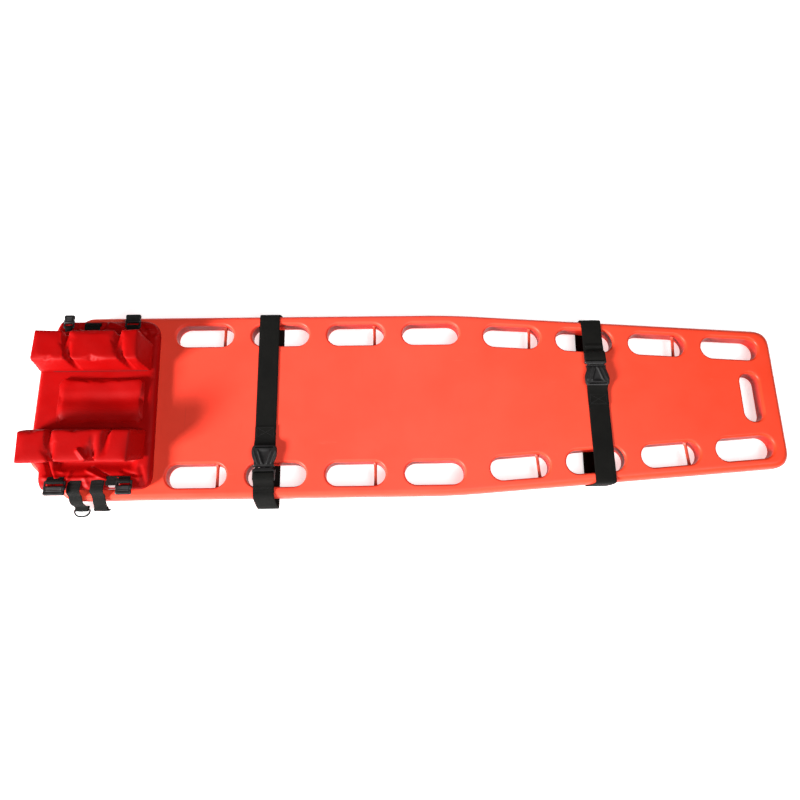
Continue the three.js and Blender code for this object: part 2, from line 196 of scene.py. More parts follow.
# ---- materials ----
class Shader:
    """A principled material with short calls for the nodes used here."""

    def __init__(self, name, colour, roughness):
        self.material = bpy.data.materials.new(name)
        self.material.use_nodes = True
        self.nodes = self.material.node_tree.nodes
        self.links = self.material.node_tree.links
        self.surface = self.nodes["Principled BSDF"]
        self.surface.inputs["Base Color"].default_value = (*colour, 1)
        self.surface.inputs["Roughness"].default_value = roughness

    def set(self, **values):
        for name, value in values.items():
            self.surface.inputs[name.replace("_", " ")].default_value = value
        return self

    def node(self, kind, links=None, **values):
        made = self.nodes.new(kind)
        for name, value in values.items():
            setattr(made, name, value)
        for socket, value in (links or {}).items():
            if isinstance(value, bpy.types.NodeSocket):
                self.links.new(value, made.inputs[socket])
            else:
                made.inputs[socket].default_value = value
        return made

    def place(self, scale=(1, 1, 1)):
        where = self.node("ShaderNodeTexCoord").outputs["Object"]
        return self.node("ShaderNodeMapping", {"Vector": where, "Scale": scale}).outputs["Vector"]

    def noise(self, scale, detail=3, stretch=(1, 1, 1), rough=0.55):
        links = {"Vector": self.place(stretch), "Scale": scale, "Detail": detail, "Roughness": rough}
        return self.node("ShaderNodeTexNoise", links).outputs["Fac"]

    def cells(self, scale):
        links = {"Vector": self.place(), "Scale": scale}
        return self.node("ShaderNodeTexVoronoi", links).outputs["Distance"]

    def ramp(self, value, stops):
        made = self.node("ShaderNodeValToRGB", {"Fac": value})
        elements = made.color_ramp.elements
        while len(elements) < len(stops):
            elements.new(0.5)
        for element, (position, colour) in zip(elements, stops):
            element.position = position
            element.color = (*colour, 1)
        return made.outputs["Color"]

    def grey(self, value, low, high, start=0.0, end=1.0):
        links = {"Value": value, "From Min": start, "From Max": end, "To Min": low, "To Max": high}
        return self.node("ShaderNodeMapRange", links).outputs["Result"]

    def math(self, operation, first, second=0.0):
        return self.node("ShaderNodeMath", {0: first, 1: second}, operation=operation).outputs["Value"]

    def mix(self, factor, first, second, blend="MIX"):
        links = {0: factor, 6: first, 7: second}
        return self.node("ShaderNodeMix", links, data_type="RGBA", blend_type=blend).outputs[2]

    def colour(self, socket):
        self.links.new(socket, self.surface.inputs["Base Color"])
        return self

    def roughness(self, socket):
        self.links.new(socket, self.surface.inputs["Roughness"])
        return self

    def bump(self, height, distance, strength=1.0):
        links = {"Height": height, "Distance": distance, "Strength": strength}
        before = self.surface.inputs["Normal"].links
        if before:
            links["Normal"] = before[0].from_socket
        made = self.node("ShaderNodeBump", links)
        self.links.new(made.outputs["Normal"], self.surface.inputs["Normal"])
        return self


def slot_wall_painted_shade(shader, spot):
    """Painted shade on the upright walls of the hand slots: strong there, it darkens the plastic to a deeper
    red.

    It fades out past the slots' outer sides, past the last slots, at their rims and at the underside.
    """
    past_taper = shader.math("SUBTRACT", spot["X"], (TAPER_START - FOOT_END / 2) / 1000)
    narrowed = shader.math("MULTIPLY", shader.math("MAXIMUM", past_taper, 0.0), TAPER_SLOPE)
    rail = shader.math("ADD", shader.math("ABSOLUTE", spot["Y"]), narrowed)
    from_slots_middle = shader.math("ABSOLUTE", shader.math("SUBTRACT", spot["X"], 0.055))
    shade_mask = 0.85
    for value, low, high, start, end in (
        (rail, 1, 0, 0.213, 0.219),
        (from_slots_middle, 1, 0, 0.83, 0.838),
        (spot["Z"], 1, 0, 0.037, 0.046),
        (spot["Z"], 0, 1, 0.01, 0.018),
    ):
        shade_mask = shader.math("MULTIPLY", shader.grey(value, low, high, start, end), shade_mask)
    return shade_mask


def board_plastic():
    """Rotomoulded polyethylene: coral, finely pebbled, with faint mottling, scuffs and drag marks."""
    shader = Shader("board_plastic", (0.94, 0.078, 0.044), 0.4)
    spot = shader.node("ShaderNodeSeparateXYZ", {"Vector": shader.place()}).outputs
    place = shader.grey(spot["X"], 0, 1, -0.92, 0.92)
    # Colour along the board: a little darker at the head end, which is painted shade beside the head pads,
    # and darker towards the foot end.
    base = shader.ramp(place, [
        (0.0, (0.9, 0.058, 0.03)),
        (0.22, (0.94, 0.066, 0.036)),
        (0.5, (0.95, 0.074, 0.042)),
        (0.75, (0.86, 0.063, 0.029)),
        (1.0, (0.68, 0.045, 0.015)),
    ])
    mottle = shader.ramp(shader.noise(7, 4), [(0.3, (0.93, 0.9, 0.9)), (0.7, (1, 1, 1))])
    toned = shader.mix(1.0, base, mottle, "MULTIPLY")
    scuff = shader.grey(shader.noise(26, 6, (0.35, 3.2, 1), 0.7), 0, 0.26, 0.66, 0.8)
    worn = shader.mix(scuff, toned, (0.94, 0.16, 0.1, 1))
    drag = shader.grey(shader.noise(90, 3, (3.2, 0.12, 1), 0.6), 0, 0.32, 0.66, 0.76)
    dragged = shader.mix(drag, worn, (0.62, 0.045, 0.022, 1))
    # Painted shade: the slot walls are mixed towards a deeper red.
    shader.colour(shader.mix(slot_wall_painted_shade(shader, spot), dragged, (0.3, 0.004, 0.002, 1)))
    shader.roughness(shader.grey(shader.noise(14, 5), 0.33, 0.5, 0.3, 0.7))
    shader.bump(shader.noise(900, 2), 0.00012, 0.5)
    shader.bump(shader.noise(60, 3), 0.0006, 0.25)
    return shader.set(IOR=1.5, Specular_IOR_Level=0.2).material


def pin_plastic():
    shader = Shader("pin_plastic", (0.5, 0.06, 0.025), 0.42)
    tone = shader.ramp(shader.noise(120, 3), [(0.3, (0.32, 0.026, 0.009)), (0.7, (0.44, 0.045, 0.018))])
    shader.colour(tone).bump(shader.noise(1400, 2), 0.0001, 0.5)
    return shader.material


def foam():
    shader = Shader("foam", (0.8, 0.7, 0.45), 0.9)
    cells = shader.cells(420.0)
    # The pores, low in the bump, are coloured darker: painted shade in the pores.
    shader.colour(shader.ramp(cells, [(0.0, (0.55, 0.45, 0.26)), (0.6, (0.85, 0.76, 0.52))]))
    return shader.bump(cells, 0.0006, 0.8).material


def pad_skin():
    """Dipped vinyl skin over foam: pebbled, slightly orange-peeled, with a soft shine."""
    shader = Shader("pad_skin", (0.34, 0.001, 0.001), 0.3)
    stops = [(0.25, (0.315, 0.0003, 0.0003)), (0.7, (0.36, 0.0006, 0.0006))]
    tone = shader.ramp(shader.noise(9, 4), stops)
    rub = shader.grey(shader.noise(38, 6, (1, 1, 1), 0.7), 0, 0.2, 0.68, 0.82)
    shader.colour(shader.mix(rub, tone, (0.39, 0.001, 0.001, 1)))
    shader.roughness(shader.grey(shader.noise(30, 4), 0.48, 0.6, 0.3, 0.7))
    shader.bump(shader.cells(620.0), 0.00014, 0.35)
    shader.bump(shader.noise(75, 3), 0.0009, 0.3)
    return shader.set(IOR=1.5, Specular_IOR_Level=0.1).material


def webbing():
    """Black flat-woven belt: a herringbone of bundles across the width, ribs along it, a little fluff."""
    shader = Shader("webbing", (0.012, 0.012, 0.013), 0.72)
    uv = shader.node("ShaderNodeTexCoord").outputs["UV"]
    split = shader.node("ShaderNodeSeparateXYZ", {"Vector": uv})
    across, along = split.outputs["X"], split.outputs["Y"]
    thread, pick = 0.0021, 0.0013
    wave_across = shader.math("SINE", shader.math("MULTIPLY", across, 2 * math.pi / thread))
    shift = shader.math("MULTIPLY", wave_across, 0.9)
    turns = shader.math("MULTIPLY", along, 2 * math.pi / pick)
    wave_along = shader.math("SINE", shader.math("ADD", turns, shift))
    weave = shader.math("MULTIPLY", wave_across, wave_along)
    height = shader.grey(weave, 0, 1, -1, 1)
    rib = shader.grey(wave_across, 0, 1, -1, 1)
    fibre = shader.noise(1800, 2)
    dust = shader.noise(22, 5, (1, 1, 1), 0.65)
    dusty = shader.ramp(dust, [(0.35, (0.0016, 0.0016, 0.0014)), (0.75, (0.005, 0.0046, 0.0038))])
    # The weave's crowns are mixed lighter and its hollows stay darker: painted shade in the hollows, over a
    # dusty tone.
    dust_and_weave_shade = shader.mix(shader.grey(height, 0.0, 0.5), dusty, (0.008, 0.0075, 0.0062, 1))
    shader.colour(dust_and_weave_shade)
    shader.roughness(shader.grey(fibre, 0.6, 0.85))
    shader.bump(rib, 0.0004, 0.6)
    shader.bump(height, 0.0003, 0.8)
    shader.bump(fibre, 0.0001, 0.4)
    return shader.set(Specular_IOR_Level=0.1, Sheen_Weight=0.012, Sheen_Roughness=0.5).material


def thread():
    shader = Shader("thread", (0.06, 0.06, 0.062), 0.6)
    stops = [(0.3, (0.008, 0.008, 0.008)), (0.7, (0.022, 0.022, 0.021))]
    shader.colour(shader.ramp(shader.noise(600, 2), stops))
    return shader.set(Specular_IOR_Level=0.2, Sheen_Weight=0.1).material


def buckle_plastic():
    """Black acetal: spark-eroded fine grain, greyed and shinier where fingers rub."""
    shader = Shader("buckle_plastic", (0.02, 0.02, 0.023), 0.42)
    stops = [(0.3, (0.006, 0.0055, 0.0056)), (0.75, (0.014, 0.0128, 0.013))]
    shader.colour(shader.ramp(shader.noise(60, 4), stops))
    shader.roughness(shader.grey(shader.noise(45, 4), 0.3, 0.52, 0.3, 0.7))
    shader.bump(shader.noise(2600, 2), 0.00007, 0.6)
    return shader.set(Specular_IOR_Level=0.35).material


def ring_metal():
    """Black lacquered wire, chipped to bare steel in spots."""
    shader = Shader("ring_metal", (0.02, 0.02, 0.02), 0.3)
    chips = shader.grey(shader.noise(420, 4, (1, 1, 1), 0.6), 0, 1, 0.74, 0.78)
    shader.colour(shader.mix(chips, (0.0035, 0.0035, 0.0035, 1), (0.3, 0.3, 0.31, 1)))
    shader.roughness(shader.grey(chips, 0.28, 0.4))
    shader.links.new(chips, shader.surface.inputs["Metallic"])
    return shader.set(Specular_IOR_Level=0.16).bump(shader.noise(900, 2), 0.00008, 0.4).material


def hook_loop():
    shader = Shader("hook_loop", (0.014, 0.014, 0.015), 0.95)
    fuzz_and_pile_shade = shader.noise(1500, 4)
    # The pile is coloured darker where its bump is low: painted shade in its hollows.
    shader.colour(shader.ramp(fuzz_and_pile_shade, [(0.35, (0.005, 0.005, 0.006)), (0.7, (0.018, 0.018, 0.019))]))
    return shader.set(Sheen_Weight=0.05, Specular_IOR_Level=0.1).bump(fuzz_and_pile_shade, 0.0008, 1.0).material


make_camera()
make_stage()
MATERIALS = {make.__name__: make() for make in (
    board_plastic, pin_plastic, foam, pad_skin, webbing, thread, buckle_plastic, ring_metal, hook_loop,
)}


# ---- mesh helpers ----
def new_piece(name, vertices, faces, material, body, slot=None, replaces=(), uvs=None):
    """A smooth-shaded mesh piece that rides on a body; angles over 35 degrees stay crisp."""
    mesh = bpy.data.meshes.new(name)
    mesh.from_pydata([tuple(v) for v in vertices], [], [tuple(f) for f in faces])
    if uvs is not None:
        layer = mesh.uv_layers.new(name="UVMap")
        for loop in mesh.loops:
            layer.data[loop.index].uv = uvs[loop.vertex_index]
    mesh.validate()
    piece = bpy.data.objects.new(name, mesh)
    scene.collection.objects.link(piece)
    tidy_mesh(piece)
    mesh.materials.append(MATERIALS[material])
    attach(piece, body)
    if replaces:
        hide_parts(*replaces)
    return piece


def tidy_mesh(piece, crisp=35):
    work = bmesh.new()
    work.from_mesh(piece.data)
    bmesh.ops.remove_doubles(work, verts=work.verts, dist=1e-6)
    bmesh.ops.recalc_face_normals(work, faces=work.faces)
    for face in work.faces:
        face.smooth = True
    limit = math.radians(crisp)
    for edge in work.edges:
        edge.smooth = len(edge.link_faces) == 2 and edge.calc_face_angle(0) < limit
    work.to_mesh(piece.data)
    work.free()


def bezier_corner(start, corner, end, steps):
    places = [i / steps for i in range(steps + 1)]
    return [start * (1 - t) ** 2 + corner * 2 * t * (1 - t) + end * t * t for t in places]


def rounded_loop(corners, steps=8):
    """Points of a closed outline through corners (x, y, radius), each corner rounded."""
    points = []
    for i, (x, y, radius) in enumerate(corners):
        here = Vector((x, y))
        before = Vector(corners[i - 1][:2])
        after = Vector(corners[(i + 1) % len(corners)][:2])
        start = here + (before - here).normalized() * radius
        end = here + (after - here).normalized() * radius
        points += bezier_corner(start, here, end, steps)
    return points


def rectangle_loop(x_low, x_high, y_low, y_high, radius, steps=6):
    corners = [(x_low, y_low), (x_high, y_low), (x_high, y_high), (x_low, y_high)]
    return rounded_loop([(x, y, radius) for x, y in corners], steps)


def rectangle(x_low, x_high, y_low, y_high, radius, grow=-1, steps=6):
    """outline(inset) of a rectangle; the inset shrinks a solid (grow -1) and widens a hole (grow 1)."""
    def outline(inset):
        out = grow * inset
        return rectangle_loop(x_low - out, x_high + out, y_low - out, y_high + out, radius, steps)

    return outline


def mirrored(corners, x, side, start, half, middle, reach):
    """outline(inset) through corners (across, along, radius) and their mirror images about x."""
    ring = [(-corners[0][0], *corners[0][1:]), *corners, *((-a, b, r) for a, b, r in corners[:0:-1])]
    return lambda inset: rounded_loop([(
        x + across * (1 - inset / half),
        side * (start + middle + (along - middle) * (1 - inset / reach)),
        radius,
    ) for across, along, radius in ring], 5)


def stadium_loop(x, y, half_length, half_width, turn, steps=14):
    straight = half_length - half_width
    points = []
    for end in (1, -1):
        for i in range(steps + 1):
            angle = -math.pi / 2 + math.pi * i / steps + (0 if end == 1 else math.pi)
            local = Vector((end * straight + half_width * math.cos(angle), half_width * math.sin(angle)))
            points.append(Vector((x, y)) + Matrix.Rotation(turn, 2) @ local)
    return points


def rim_steps(size, thickness, count):
    """(inset, drop) pairs of a quarter ellipse, from the flat face to the upright wall."""
    angles = [math.pi / 2 * i / count for i in range(count + 1)]
    return [(size * (1 - math.sin(a)), thickness * (1 - math.cos(a))) for a in angles]


def plate(outer, holes, low, high, outer_rim, hole_rim, count=6):
    """Vertices and faces of a plate with rounded rims.

    outer(inset) and each hole(inset) give a loop of points, drawn back into the material by the inset.
    """
    vertices, faces = [], []
    caps = {"top": [], "bottom": []}
    for make, rim in [(outer, outer_rim)] + [(hole, hole_rim) for hole in holes]:
        pairs = rim_steps(*rim, count)
        levels = [(inset, high - drop) for inset, drop in pairs]
        levels += [(inset, low + drop) for inset, drop in reversed(pairs)]
        rings = []
        for inset, z in levels:
            loop = make(inset)
            rings.append([len(vertices) + i for i in range(len(loop))])
            vertices += [mm(p.x, p.y, z) for p in loop]
        for upper, lower in zip(rings, rings[1:]):
            for i in range(len(upper)):
                j = (i + 1) % len(upper)
                faces.append((upper[i], upper[j], lower[j], lower[i]))
        caps["top"].append(rings[0])
        caps["bottom"].append(rings[-1])
    for loops in caps.values():
        flat = [i for loop in loops for i in loop]
        for triangle in tessellate_polygon([[vertices[i] for i in loop] for loop in loops]):
            faces.append(tuple(flat[i] for i in triangle))
    return vertices, faces


def tube_faces(rows, sides, flipped=False):
    """Faces of a capped tube: rows of vertices, each row a ring of so many sides."""
    faces = []
    for i in range(rows - 1):
        for j in range(sides):
            k = (j + 1) % sides
            quad = (i * sides + j, i * sides + k, (i + 1) * sides + k, (i + 1) * sides + j)
            faces.append((quad[0], *quad[:0:-1]) if flipped else quad)
    faces.append(tuple(range(sides)))
    faces.append(tuple(reversed(range((rows - 1) * sides, rows * sides))))
    return faces


def joined(parts):
    vertices, faces = [], []
    for some_vertices, some_faces in parts:
        offset = len(vertices)
        vertices += some_vertices
        faces += [tuple(i + offset for i in face) for face in some_faces]
    return vertices, faces


# ---- board ----
def board_outline(inset):
    def half(x):
        return half_width_at(x) - inset

    foot = FOOT_END - inset
    upper = [
        (HEAD_END + inset, 138 - inset / 2, 20),
        (95, 205 - inset, 20),
        (130 + inset / 2, half(0), 12),
        (TAPER_START, half(0), 60),
        (foot, half(FOOT_END), 38),
    ]
    lower = [(x, -y, radius) for x, y, radius in reversed(upper)]
    return rounded_loop(lower + upper, 10)


def slot_hole(x, side):
    turn = -side * slot_turn_at(x)
    return lambda inset: stadium_loop(
        x, side * slot_row_at(x), SLOT_HALF_LENGTH + inset, SLOT_HALF_WIDTH + inset, turn
    )


def foot_hole(inset):
    end = FOOT_SLOT
    return stadium_loop(end["x"], 0, end["half_length"] + inset, end["half_width"] + inset, math.pi / 2)


def make_board():
    holes = [slot_hole(x, side) for x in SLOT_CENTRES for side in (-1, 1)] + [foot_hole]
    panel = plate(board_outline, holes, PANEL_BOTTOM, BOARD_TOP, (12, 17), (6, 8), 7)
    runners = []
    for y in RUNNER_ROWS:
        for start, end in RUNNER_SPANS:
            outline = rectangle(start, end, y - 12, y + 12, 8)
            runners.append(plate(outline, [], 0, PANEL_BOTTOM + 4, (3, 4), (0, 0), 4))
    shape = joined([panel, *runners])
    board = new_piece("board_body", *shape, "board_plastic", "board", replaces=["board_shell"])
    weigh = board.modifiers.new("flat faces stay flat", "WEIGHTED_NORMAL")
    weigh.keep_sharp = True
    weigh.weight = 80


def lathe_between(start, end, radii, sides=28, droop=0.0):
    """A turned rod between two points; radii are (distance along, radius) pairs in metres."""
    axis = (end - start).normalized()
    side = axis.cross(Vector((0, 0, 1))).normalized()
    up = side.cross(axis)
    vertices, faces = [start - up * droop], []
    for along, radius in radii:
        for i in range(sides):
            angle = 2 * math.pi * i / sides
            out = side * math.cos(angle) + up * math.sin(angle)
            vertices.append(start + axis * along + out * radius)
    vertices.append(end - up * droop)
    last = 1 + (len(radii) - 1) * sides
    for i in range(sides):
        j = (i + 1) % sides
        faces.append((0, 1 + j, 1 + i))
        for base in range(1, last, sides):
            faces.append((base + i, base + j, base + sides + j, base + sides + i))
        faces.append((last + i, last + j, last + sides))
    return vertices, faces


def make_pins():
    """Moulded pins, waisted in the middle and flared where they enter the slot walls."""
    number = 1
    for x in PIN_SLOTS:
        for side in (-1, 1):
            turn = Matrix.Rotation(-side * slot_turn_at(x), 2)
            slot = Vector((x, side * slot_row_at(x)))
            across = SLOT_HALF_WIDTH + 1
            ends = [slot + turn @ Vector((PIN_OFFSET, way * across)) for way in (-1, 1)]
            start, end = (mm(p.x, p.y, (BOARD_TOP + PANEL_BOTTOM) / 2) for p in ends)
            length = (end - start).length
            places = [i / 16 for i in range(17)]
            radii = [(length * t, 0.0036 + 0.0026 * abs(2 * t - 1) ** 7) for t in places]
            new_piece(f"pin_{number}", *lathe_between(start, end, radii), "pin_plastic", "board",
                      replaces=[f"strap_pin_{number}"])
            number += 1


# ---- webbing ----
def smoothed(points, rounds=3):
    """Corner-cutting: the ends stay, the bends become curves."""
    for _ in range(rounds):
        cut = [points[0]]
        for a, b in zip(points, points[1:]):
            cut += [a.lerp(b, 0.25), a.lerp(b, 0.75)]
        points = cut + [points[-1]]
    return points


def resampled(points, step):
    lengths = [0.0]
    for a, b in zip(points, points[1:]):
        lengths.append(lengths[-1] + (b - a).length)
    count = max(8, round(lengths[-1] / step))
    result, k = [], 0
    for i in range(count + 1):
        target = lengths[-1] * i / count
        while k < len(points) - 2 and lengths[k + 1] < target:
            k += 1
        span = max(lengths[k + 1] - lengths[k], 1e-9)
        result.append(points[k].lerp(points[k + 1], (target - lengths[k]) / span))
    return result


def web_section(width, thickness):
    """(across, height) points round a belt's section, with full round edges and a faint crown."""
    rows = 12
    half, crown = width / 2 - thickness / 2, thickness * 0.06
    places = [-half + 2 * half * i / rows for i in range(rows + 1)]
    top = [(x, thickness / 2 + crown * (1 - (x / half) ** 2)) for x in places]
    turns = [math.pi * i / 4 for i in range(1, 4)]
    edge = [(half + thickness / 2 * math.sin(a), thickness / 2 * math.cos(a)) for a in turns]
    bottom = [(x, -z) for x, z in reversed(top)]
    return top + edge + bottom + [(-x, -z) for x, z in edge]


def belt_mesh(path, width, seed):
    """Sweeps a belt section along a path; the belt's width always lies along X."""
    path = resampled(path, 0.0035)
    section = web_section(width / 1000, WEB_THICKNESS / 1000)
    wide = Vector((1, 0, 0))
    vertices, uvs = [], []
    travelled = 0.0
    for i, point in enumerate(path):
        ahead = path[min(i + 1, len(path) - 1)] - path[max(i - 1, 0)]
        normal = wide.cross(ahead).normalized()
        if i:
            travelled += (point - path[i - 1]).length
        for across, height in section:
            wave = noise.noise(Vector((across * 40, travelled * 18, seed))) * WEB_RIPPLE / 1000
            vertices.append(point + wide * across + normal * (height + wave * 0.5))
            uvs.append((across, travelled))
    return vertices, tube_faces(len(path), len(section)), uvs


def yz_path(x, side, points, lean=0.0):
    """A route over points (y, z) at one x, or leaning off it by so much for each millimetre of y."""
    return smoothed([mm(x + lean * (points[-1][0] - y), side * y, z) for y, z in points])


def make_belt(name, x, side, points, width, body, replaces=(), seed=0.0, lean=0.0, skew=None):
    """A belt over a route; below the board's top the skew moves it sideways, by so much at each rail."""
    route = yz_path(x, side, points, lean)
    for point in route if skew else ():
        depth = min(max((BOARD_TOP - 1 - point.z * 1000) / 30, 0), 1)
        across = min(max(0.5 + point.y * 1000 / (2 * HALF_WIDTH), 0), 1)
        point.x += depth * (skew["near"] + (skew["far"] - skew["near"]) * across) / 1000
    vertices, faces, uvs = belt_mesh(route, width, seed)
    new_piece(name, vertices, faces, "webbing", body, replaces=replaces, uvs=uvs)


def stitch_rows(name, rows, body, pitch=2.6, size=0.42):
    """Rows of raised lockstitch, each (start, end) in millimetres, as spindles with drooping ends."""
    reach, radius = pitch * 0.4 / 1000, size / 1000
    girths = [(reach * (1 + t), radius * (1 - 0.35 * abs(t))) for t in (-0.6, 0, 0.6)]
    parts = []
    for start, end in rows:
        a, b = mm(*start), mm(*end)
        count = max(1, int((b - a).length * 1000 / pitch))
        half = (b - a).normalized() * reach
        for i in range(count):
            middle = a.lerp(b, (i + 0.5) / count)
            parts.append(lathe_between(middle - half, middle + half, girths, 6, radius * 0.8))
    new_piece(name, *joined(parts), "thread", body, slot="webbing")


def across_rows(x_low, x_high, lines, z):
    """Straight rows of stitches across a belt, one at each line's y."""
    return [((x_low, y, z), (x_high, y, z)) for y in lines]


def box_stitch(x_low, x_high, y_low, y_high, z):
    """Rows of a box with a cross in it."""
    a, b = (x_low, y_low, z), (x_high, y_low, z)
    c, d = (x_high, y_high, z), (x_low, y_high, z)
    return [(a, b), (b, c), (c, d), (d, a), (a, c), (b, d)]


# ---- buckles ----
def remeshed(piece, voxel, relax=2):
    """Replaces a piece's mesh by an even skin over it, slightly relaxed."""
    remesh = piece.modifiers.new("even skin", "REMESH")
    remesh.mode = "VOXEL"
    remesh.voxel_size = voxel
    smooth = piece.modifiers.new("relax", "SMOOTH")
    smooth.iterations = relax
    smooth.factor = 0.5
    apply_modifiers(piece)


def apply_modifiers(piece):
    bpy.context.view_layer.update()
    evaluated = piece.evaluated_get(bpy.context.evaluated_depsgraph_get())
    mesh = bpy.data.meshes.new_from_object(evaluated)
    for material in piece.data.materials:
        if material.name not in mesh.materials:
            mesh.materials.append(material)
    piece.modifiers.clear()
    old = piece.data
    piece.data = mesh
    bpy.data.meshes.remove(old)
    for polygon in mesh.polygons:
        polygon.use_smooth = True


def coordinates(piece):
    values = np.empty(len(piece.data.vertices) * 3)
    piece.data.vertices.foreach_get("co", values)
    return values.reshape(-1, 3)


def set_coordinates(piece, values):
    piece.data.vertices.foreach_set("co", values.reshape(-1))
    piece.data.update()


def in_mm(points, x=0, side=1, start=0):
    """Columns of millimetres: along the board from x, outwards on one side from start, and height."""
    return points[:, 0] * 1000 + FOOT_END / 2 - x, side * points[:, 1] * 1000 - start, points[:, 2] * 1000


def waves(points, scale, seed=0.0):
    """Smooth noise at each point."""
    return np.array([noise.noise(Vector(p) * scale + Vector((seed, 0, 0))) for p in points])


def solid_box(x_low, x_high, y_low, y_high, z_low, z_high):
    corners = [mm(x, y, z) for z in (z_low, z_high) for x, y in (
        (x_low, y_low), (x_high, y_low), (x_high, y_high), (x_low, y_high))]
    faces = [(3, 2, 1, 0), (4, 5, 6, 7), (0, 1, 5, 4), (1, 2, 6, 5), (2, 3, 7, 6), (3, 0, 4, 7)]
    return corners, faces


def carve(piece, tools):
    """Cuts boxes out of a piece."""
    vertices, faces = joined(tools)
    mesh = bpy.data.meshes.new("tool")
    mesh.from_pydata([tuple(v) for v in vertices], [], faces)
    tool = bpy.data.objects.new("tool", mesh)
    scene.collection.objects.link(tool)
    boolean = piece.modifiers.new("carve", "BOOLEAN")
    boolean.object = tool
    boolean.solver = "EXACT"
    boolean.use_self = True
    apply_modifiers(piece)
    bpy.data.objects.remove(tool)
    bpy.data.meshes.remove(mesh)


def smooth_step(values, low, high):
    t = np.clip((values - low) / (high - low), 0, 1)
    return t * t * (3 - 2 * t)


def make_buckle(strap):
    """Side-release buckle: socket with thumb windows and raised chevrons, clip with prongs and ladder."""
    number, x, side, start = (strap[k] for k in ("number", "x", "side", "start"))

    def reach(a, b):
        return span(side, start + a, start + b)

    funnel = [(26, 1, 5), (30.5, 12, 7), (29.5, 27, 8), (22, 47, 7), (25.5, 54, 3)]
    shape = plate(mirrored(funnel, x, side, start, 30, 27.5, 27), [], *SOCKET_Z, (3.5, 3.8), (0, 0), 5)
    socket = new_piece(f"buckle_socket_{number}", *shape, "buckle_plastic", "board",
                       replaces=[f"strap_{number}_socket"])
    # The mouth, the two thumb windows and the bar's gap for the belt.
    carve(socket, [
        solid_box(x - 20.5, x + 20.5, *reach(9, 60), 56, 62),
        solid_box(x - 40, x + 40, *reach(20, 42), 56.2, 61.8),
        solid_box(x - 22, x + 22, *reach(5, 8), 50, 70),
    ])
    remeshed(socket, 0.0008)
    points = coordinates(socket)
    across, along, height = in_mm(points, x, side, start)
    # Two raised chevrons, a hollow inside them, and a step down at the mouth.
    across = np.abs(across)
    top = smooth_step(height, 62, 64.5)
    hollow = smooth_step(along, 11, 18) * smooth_step(50 - along, 0, 6)
    inner = np.abs(across - (15.5 - 0.32 * (along - 12)))
    outer = np.abs(across - (26 - 0.33 * (along - 12)))
    shape = 1.3 * (1 - smooth_step(inner, 0.8, 2.8)) * hollow
    shape += 0.9 * (1 - smooth_step(outer, 0.8, 2.8)) * hollow
    shape -= 1.5 * smooth_step(13.5 - 0.32 * (along - 12) - across, 0, 3) * hollow
    shape -= 1.4 * smooth_step(along, 49, 52)
    points[:, 2] += top * (shape - 1.2) / 1000
    set_coordinates(socket, points)

    ladder = [(20, 55.2, 3), (28, 61, 3), (26.5, 66, 4), (26.5, 86, 3)]
    gaps = [rectangle(x - 23, x + 23, *reach(a, a + 5), 1.5, grow=1) for a in (64.5, 75.5)]
    body = plate(mirrored(ladder, x, side, start, 27, 70.6, 15.4), gaps, *CLIP_Z, (2, 2.6), (1, 1.6), 4)
    prongs = []
    for offset, half, tip in ((-17, 3.4, 14), (17, 3.4, 14), (0, 2.4, 30)):
        outline = rectangle(x + offset - half, x + offset + half, *reach(tip, 58), 1.4)
        prongs.append(plate(outline, [], *PRONG_Z, (0.9, 1.1), (0, 0), 3))
    new_piece(f"buckle_clip_{number}", *joined([body, *prongs]), "buckle_plastic", f"clip_{number}",
              replaces=[f"strap_{number}_clip"])


def make_body_strap(strap):
    keys = ("number", "x", "side", "start", "slack", "skew")
    number, x, side, start, slack, skew = (strap[k] for k in keys)
    half = half_width_at(x + min(skew["near"], 0))
    sewn_loop = [
        (start - 46, 53.5), (start - 22, 53.5), (start - 8, 55.2), (start + 2, 60.6),
        (start + 6.8, 60.4), (start + 6.6, 54), (start + 1, 52), (start - 12, TOP_Z),
    ]
    round_edge = [
        (-(half - 6), TOP_Z + 0.1), (-(half + 1), 49.5), (-(half + 3.6), 40),
        (-(half + 3.6), 14), (-(half + 0.5), 5), (-(half - 9), UNDER_Z),
    ]
    slack_edge = [
        (half - 14, UNDER_Z), (half + slack - 3, UNDER_Z - 0.4), (half + slack + 4, 6),
        (half + slack + 3, 20), (half + slack * 0.3 + 4.4, 38), (half + 0.5, 50.4),
        (half - 9, TOP_Z + 0.2), (start + 82, TOP_Z), (start + 60, TOP_Z),
    ]
    make_belt(f"belt_{number}", x, side, sewn_loop + round_edge + slack_edge, WEB_WIDTH, "board",
              [f"strap_{number}_webbing"], seed=number, skew=skew)
    tail = [
        (start + 66.6, 54.2), (start + 67, 60), (start + 68.5, 64.6), (start + 74, 65.2), (start + 84, 65),
        (start + 89.5, 62.5), (start + 91, 57), (start + 96, 55), (start + 110, 54.6),
    ]
    make_belt(f"belt_tail_{number}", x, side, tail, WEB_WIDTH - 1, f"clip_{number}",
              [f"strap_{number}_tail"], seed=7 + number)
    box = box_stitch(x - 20, x + 20, *span(side, start - 43, start - 20), STITCH_Z["box"])
    stitch_rows(f"belt_stitches_{number}", box, "board")
    hem = across_rows(x - 21, x + 21, (side * (start + 105), side * (start + 102)), STITCH_Z["hem"])
    stitch_rows(f"hem_stitches_{number}", hem, f"clip_{number}")
    make_buckle(strap)


